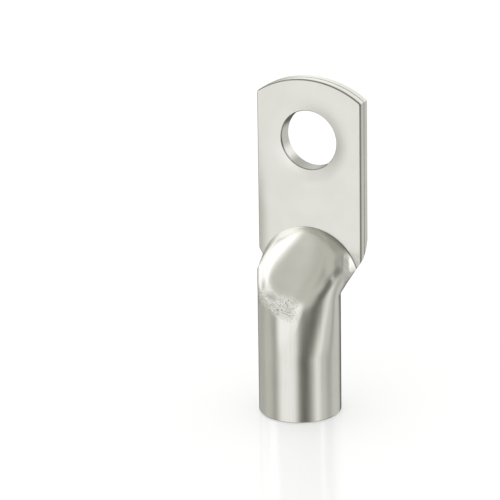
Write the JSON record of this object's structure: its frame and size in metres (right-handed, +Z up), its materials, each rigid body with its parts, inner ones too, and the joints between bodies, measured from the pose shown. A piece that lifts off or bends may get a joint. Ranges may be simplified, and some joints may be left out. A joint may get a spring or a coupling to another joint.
{
  "type": "tube cable lug",
  "caption": "Pressed tube cable lug: round blind barrel for a crimped cable, sloping transition and flat palm with a round stud hole.",
  "frame": {"origin": "centre of the barrel's mouth, on the barrel axis and on the plane of the barrel's cut end", "axes": "+Z up the barrel axis towards the palm's end, +Y out of the palm's flat contact face, X across the palm"},
  "size_m": [0.012, 0.0088, 0.0359],
  "materials": {
    "tinned_copper": "satin tin plate over copper, with fine drawn lines along the barrel"
  },
  "bodies": {
    "root": {"cable_lug": "tinned_copper"}
  },
  "joints": []
}
